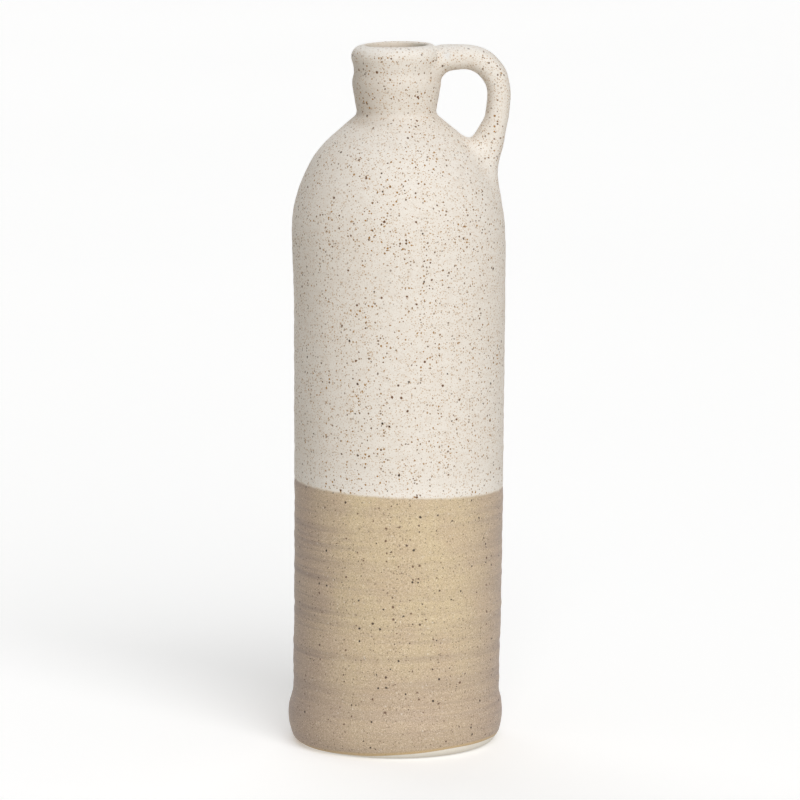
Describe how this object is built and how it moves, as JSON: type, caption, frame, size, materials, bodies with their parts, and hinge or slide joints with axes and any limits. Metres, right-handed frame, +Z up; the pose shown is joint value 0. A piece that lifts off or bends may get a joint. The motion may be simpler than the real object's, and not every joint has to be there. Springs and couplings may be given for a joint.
{
  "type": "stoneware pottery vase",
  "caption": "Tall cylindrical stoneware bottle vase with a domed shoulder, a narrow collared neck and a small loop handle from rim to shoulder, dipped in white over sand-coloured glaze.",
  "frame": {"origin": "centre of the foot ring's resting face, on the vase's axis", "axes": "+Z up the vase's axis to the mouth, +X towards the handle, -Y the side seen from the front"},
  "size_m": [0.1101, 0.1074, 0.35],
  "materials": {
    "bare_stoneware": "unglazed fired stoneware, fine grit, matte",
    "white_glaze": "off-white matte glaze with fine tan and rust speckle",
    "sand_glaze": "sand-brown satin-matte glaze, greyer in the throwing rings, fine dark specks",
    "liner_glaze": "plain pale liner glaze"
  },
  "bodies": {
    "root": {"base_slab": "bare_stoneware", "body_wall": "bare_stoneware", "shoulder_dome": "bare_stoneware", "neck_collar": "bare_stoneware", "handle_strap": "bare_stoneware", "handle_upper_weld": "bare_stoneware", "handle_lower_weld": "bare_stoneware", "liner_glaze_coat": "liner_glaze", "tan_glaze_coat": "sand_glaze", "white_glaze_coat": "white_glaze"}
  },
  "joints": []
}
